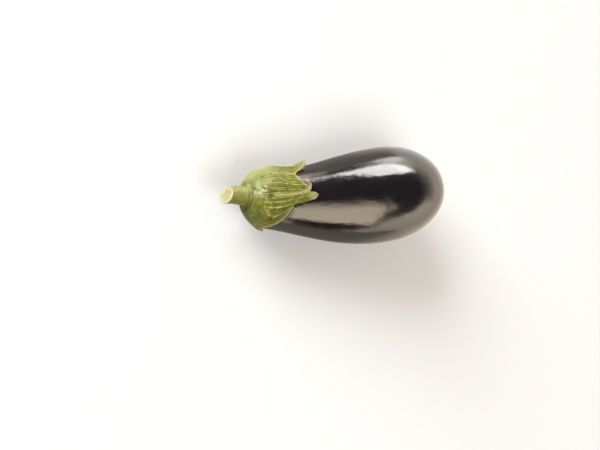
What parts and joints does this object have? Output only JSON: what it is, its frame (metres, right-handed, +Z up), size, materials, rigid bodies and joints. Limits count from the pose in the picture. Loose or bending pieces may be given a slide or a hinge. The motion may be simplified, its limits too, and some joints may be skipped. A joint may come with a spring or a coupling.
{
  "type": "eggplant",
  "caption": "Oblong eggplant with a dark purple glossy skin, a lobed green calyx and a cut stalk, picked and lying on its side.",
  "frame": {"origin": "on the surface that the fruit lies on, under the middle of its bounding box", "axes": "+X from the stalk to the blossom end, +Y across the fruit, +Z up"},
  "size_m": [0.2032, 0.0814, 0.0813],
  "materials": {
    "skin": "waxy gloss, nearly black purple",
    "calyx": "matt, finely veined yellow-green"
  },
  "bodies": {
    "root": {"fruit": "skin", "calyx_and_stalk": "calyx"}
  },
  "joints": []
}
